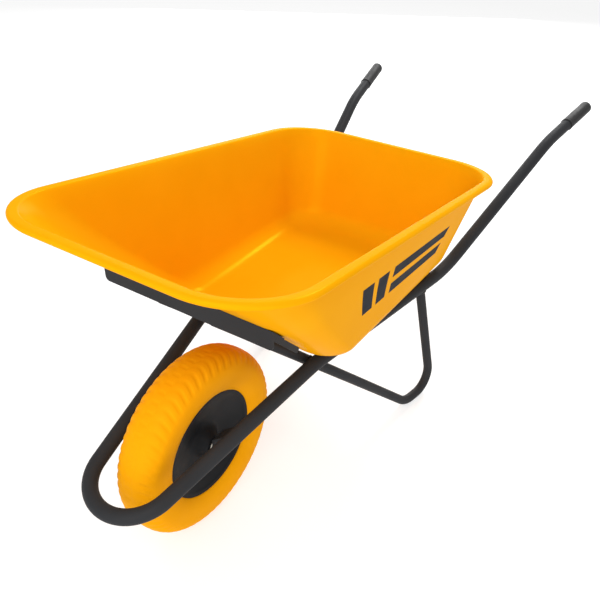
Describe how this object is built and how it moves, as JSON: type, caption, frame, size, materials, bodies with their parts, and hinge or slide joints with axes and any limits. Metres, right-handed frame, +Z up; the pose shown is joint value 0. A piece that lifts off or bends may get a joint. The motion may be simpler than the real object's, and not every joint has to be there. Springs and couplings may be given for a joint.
{
  "type": "wheelbarrow",
  "caption": "Builder's wheelbarrow: deep pressed steel tray on a bent tube frame with bent tube legs, sleeve grips and a foam-filled wheel that turns on a fixed axle.",
  "frame": {"origin": "centre of the bounding box's bottom face, on the ground between the wheel and the feet", "axes": "+X towards the handles, +Y to the right of the person who pushes, +Z up"},
  "size_m": [1.435, 0.6288, 0.6315],
  "materials": {
    "tray": "glossy orange paint on pressed steel sheet",
    "frame": "satin dark grey powder coat on steel tube",
    "tyre": "matt orange foam-filled tyre",
    "rim": "satin black paint on pressed steel",
    "grip": "dull black sleeve",
    "zinc": "bright zinc plate",
    "nylon": "natural nylon"
  },
  "bodies": {
    "frame": {"main_frame": "frame", "left_leg": "frame", "right_leg": "frame", "front_support": "frame", "tray": "tray", "left_grip": "grip", "right_grip": "grip", "left_axle_bracket": "frame", "right_axle_bracket": "frame", "axle_bolt": "zinc", "axle_nut": "zinc", "left_axle_washer": "zinc", "right_axle_washer": "zinc", "left_spacer": "zinc", "right_spacer": "zinc", "left_front_tray_tab": "frame", "left_front_tray_stud": "tray", "left_front_tray_washer": "zinc", "left_front_tray_nut": "zinc", "left_rear_tray_tab": "frame", "left_rear_tray_stud": "tray", "left_rear_tray_washer": "zinc", "left_rear_tray_nut": "zinc", "right_front_tray_tab": "frame", "right_front_tray_stud": "tray", "right_front_tray_washer": "zinc", "right_front_tray_nut": "zinc", "right_rear_tray_tab": "frame", "right_rear_tray_stud": "tray", "right_rear_tray_washer": "zinc", "right_rear_tray_nut": "zinc"},
    "wheel": {"tyre": "tyre", "left_rim": "rim", "right_rim": "rim", "rim_band": "rim", "hub": "rim", "left_bush": "nylon", "right_bush": "nylon"}
  },
  "joints": [
    {"name": "wheel_spin", "type": "hinge", "parent": "frame", "child": "wheel", "pos_m": [-0.47917, 0, 0.1775], "axis": [0, 1, 0], "continuous": true}
  ]
}
